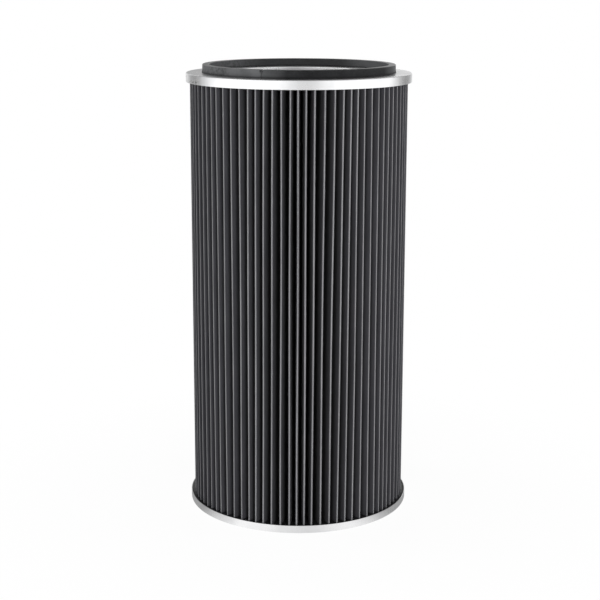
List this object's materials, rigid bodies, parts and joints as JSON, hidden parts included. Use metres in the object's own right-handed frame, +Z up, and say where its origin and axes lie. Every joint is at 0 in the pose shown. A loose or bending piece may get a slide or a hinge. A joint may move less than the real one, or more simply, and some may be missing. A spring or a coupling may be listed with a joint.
{
  "type": "dust collector cartridge filter",
  "caption": "Tall round dust collector cartridge filter: dark pleated cloth between two bright metal end caps, with a square rubber gasket round the open top outlet.",
  "frame": {"origin": "centre of the bottom face, on the surface that the filter stands on", "axes": "+Z up along the filter's axis towards the outlet, -Y towards the front of the reference view, +X to its right"},
  "size_m": [0.327, 0.327, 0.6558],
  "materials": {
    "cap_metal": "bright zinc-plated sheet, slightly satin",
    "gasket_rubber": "matt cut sponge rubber",
    "filter_cloth": "dark grey spunbonded polyester with a faint metallic sheen",
    "core_metal": "galvanised expanded metal",
    "potting_resin": "black cast resin"
  },
  "bodies": {
    "root": {"top_end_cap": "cap_metal", "bottom_end_cap": "cap_metal", "gasket": "gasket_rubber", "filter_media": "filter_cloth", "inner_core": "core_metal", "top_potting": "potting_resin", "bottom_potting": "potting_resin"}
  },
  "joints": []
}
